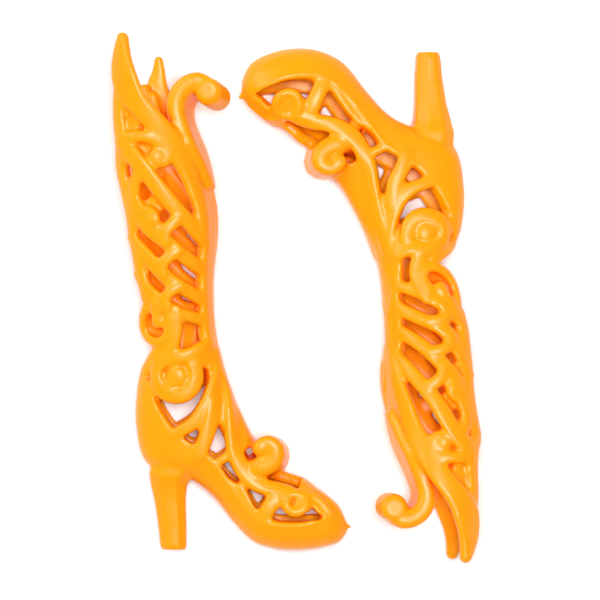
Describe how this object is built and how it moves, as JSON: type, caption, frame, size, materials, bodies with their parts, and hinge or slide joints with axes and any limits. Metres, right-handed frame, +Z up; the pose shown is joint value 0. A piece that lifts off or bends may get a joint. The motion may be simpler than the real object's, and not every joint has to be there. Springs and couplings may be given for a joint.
{
  "type": "pair of fashion doll boots",
  "caption": "Pair of openwork knee-high heeled boots for a fashion doll, each one soft moulding with a scrolled lattice shaft.",
  "frame": {"origin": "centre of the pair's footprint, on the surface it lies on", "axes": "+Z up, away from the surface; +Y from the left boot's heel tip towards its knee; +X from the left boot to the right boot"},
  "size_m": [0.0532, 0.0764, 0.0138],
  "materials": {
    "orange_pvc": "glossy soft vinyl",
    "pale_orange_pvc": "glossy soft vinyl, worn bright on the raised curls",
    "deep_orange_pvc": "glossy soft vinyl"
  },
  "bodies": {
    "left_boot": {"left_boot_arch_shell": "orange_pvc", "left_boot_counter_shell": "orange_pvc", "left_boot_far_ankle_scroll": "pale_orange_pvc", "left_boot_far_back_curl": "pale_orange_pvc", "left_boot_far_back_edge": "deep_orange_pvc", "left_boot_far_bottom_strand": "deep_orange_pvc", "left_boot_far_collar_strand": "deep_orange_pvc", "left_boot_far_instep_curl": "pale_orange_pvc", "left_boot_far_knee_curl": "pale_orange_pvc", "left_boot_far_lower_strand": "deep_orange_pvc", "left_boot_far_middle_strand": "deep_orange_pvc", "left_boot_far_spike_strand": "deep_orange_pvc", "left_boot_far_top_curl": "pale_orange_pvc", "left_boot_far_vamp_strand": "deep_orange_pvc", "left_boot_heel": "orange_pvc", "left_boot_near_ankle_scroll": "pale_orange_pvc", "left_boot_near_back_curl": "pale_orange_pvc", "left_boot_near_back_edge": "deep_orange_pvc", "left_boot_near_bottom_strand": "deep_orange_pvc", "left_boot_near_collar_strand": "deep_orange_pvc", "left_boot_near_instep_curl": "pale_orange_pvc", "left_boot_near_knee_curl": "pale_orange_pvc", "left_boot_near_lower_strand": "deep_orange_pvc", "left_boot_near_middle_strand": "deep_orange_pvc", "left_boot_near_spike_strand": "deep_orange_pvc", "left_boot_near_top_curl": "pale_orange_pvc", "left_boot_near_vamp_strand": "deep_orange_pvc", "left_boot_shin_spine": "pale_orange_pvc", "left_boot_toe_cap": "pale_orange_pvc", "left_boot_toe_shell": "orange_pvc"},
    "right_boot": {"right_boot_arch_shell": "orange_pvc", "right_boot_counter_shell": "orange_pvc", "right_boot_far_ankle_scroll": "pale_orange_pvc", "right_boot_far_back_curl": "pale_orange_pvc", "right_boot_far_back_edge": "deep_orange_pvc", "right_boot_far_bottom_strand": "deep_orange_pvc", "right_boot_far_collar_strand": "deep_orange_pvc", "right_boot_far_instep_curl": "pale_orange_pvc", "right_boot_far_knee_curl": "pale_orange_pvc", "right_boot_far_lower_strand": "deep_orange_pvc", "right_boot_far_middle_strand": "deep_orange_pvc", "right_boot_far_spike_strand": "deep_orange_pvc", "right_boot_far_top_curl": "pale_orange_pvc", "right_boot_far_vamp_strand": "deep_orange_pvc", "right_boot_heel": "orange_pvc", "right_boot_near_ankle_scroll": "pale_orange_pvc", "right_boot_near_back_curl": "pale_orange_pvc", "right_boot_near_back_edge": "deep_orange_pvc", "right_boot_near_bottom_strand": "deep_orange_pvc", "right_boot_near_collar_strand": "deep_orange_pvc", "right_boot_near_instep_curl": "pale_orange_pvc", "right_boot_near_knee_curl": "pale_orange_pvc", "right_boot_near_lower_strand": "deep_orange_pvc", "right_boot_near_middle_strand": "deep_orange_pvc", "right_boot_near_spike_strand": "deep_orange_pvc", "right_boot_near_top_curl": "pale_orange_pvc", "right_boot_near_vamp_strand": "deep_orange_pvc", "right_boot_shin_spine": "pale_orange_pvc", "right_boot_toe_cap": "pale_orange_pvc", "right_boot_toe_shell": "orange_pvc"}
  },
  "joints": [
    {"name": "right_boot_lift", "type": "slide", "parent": "left_boot", "child": "right_boot", "axis": [0, 0, 1], "range_m": [0, 0.05]}
  ]
}
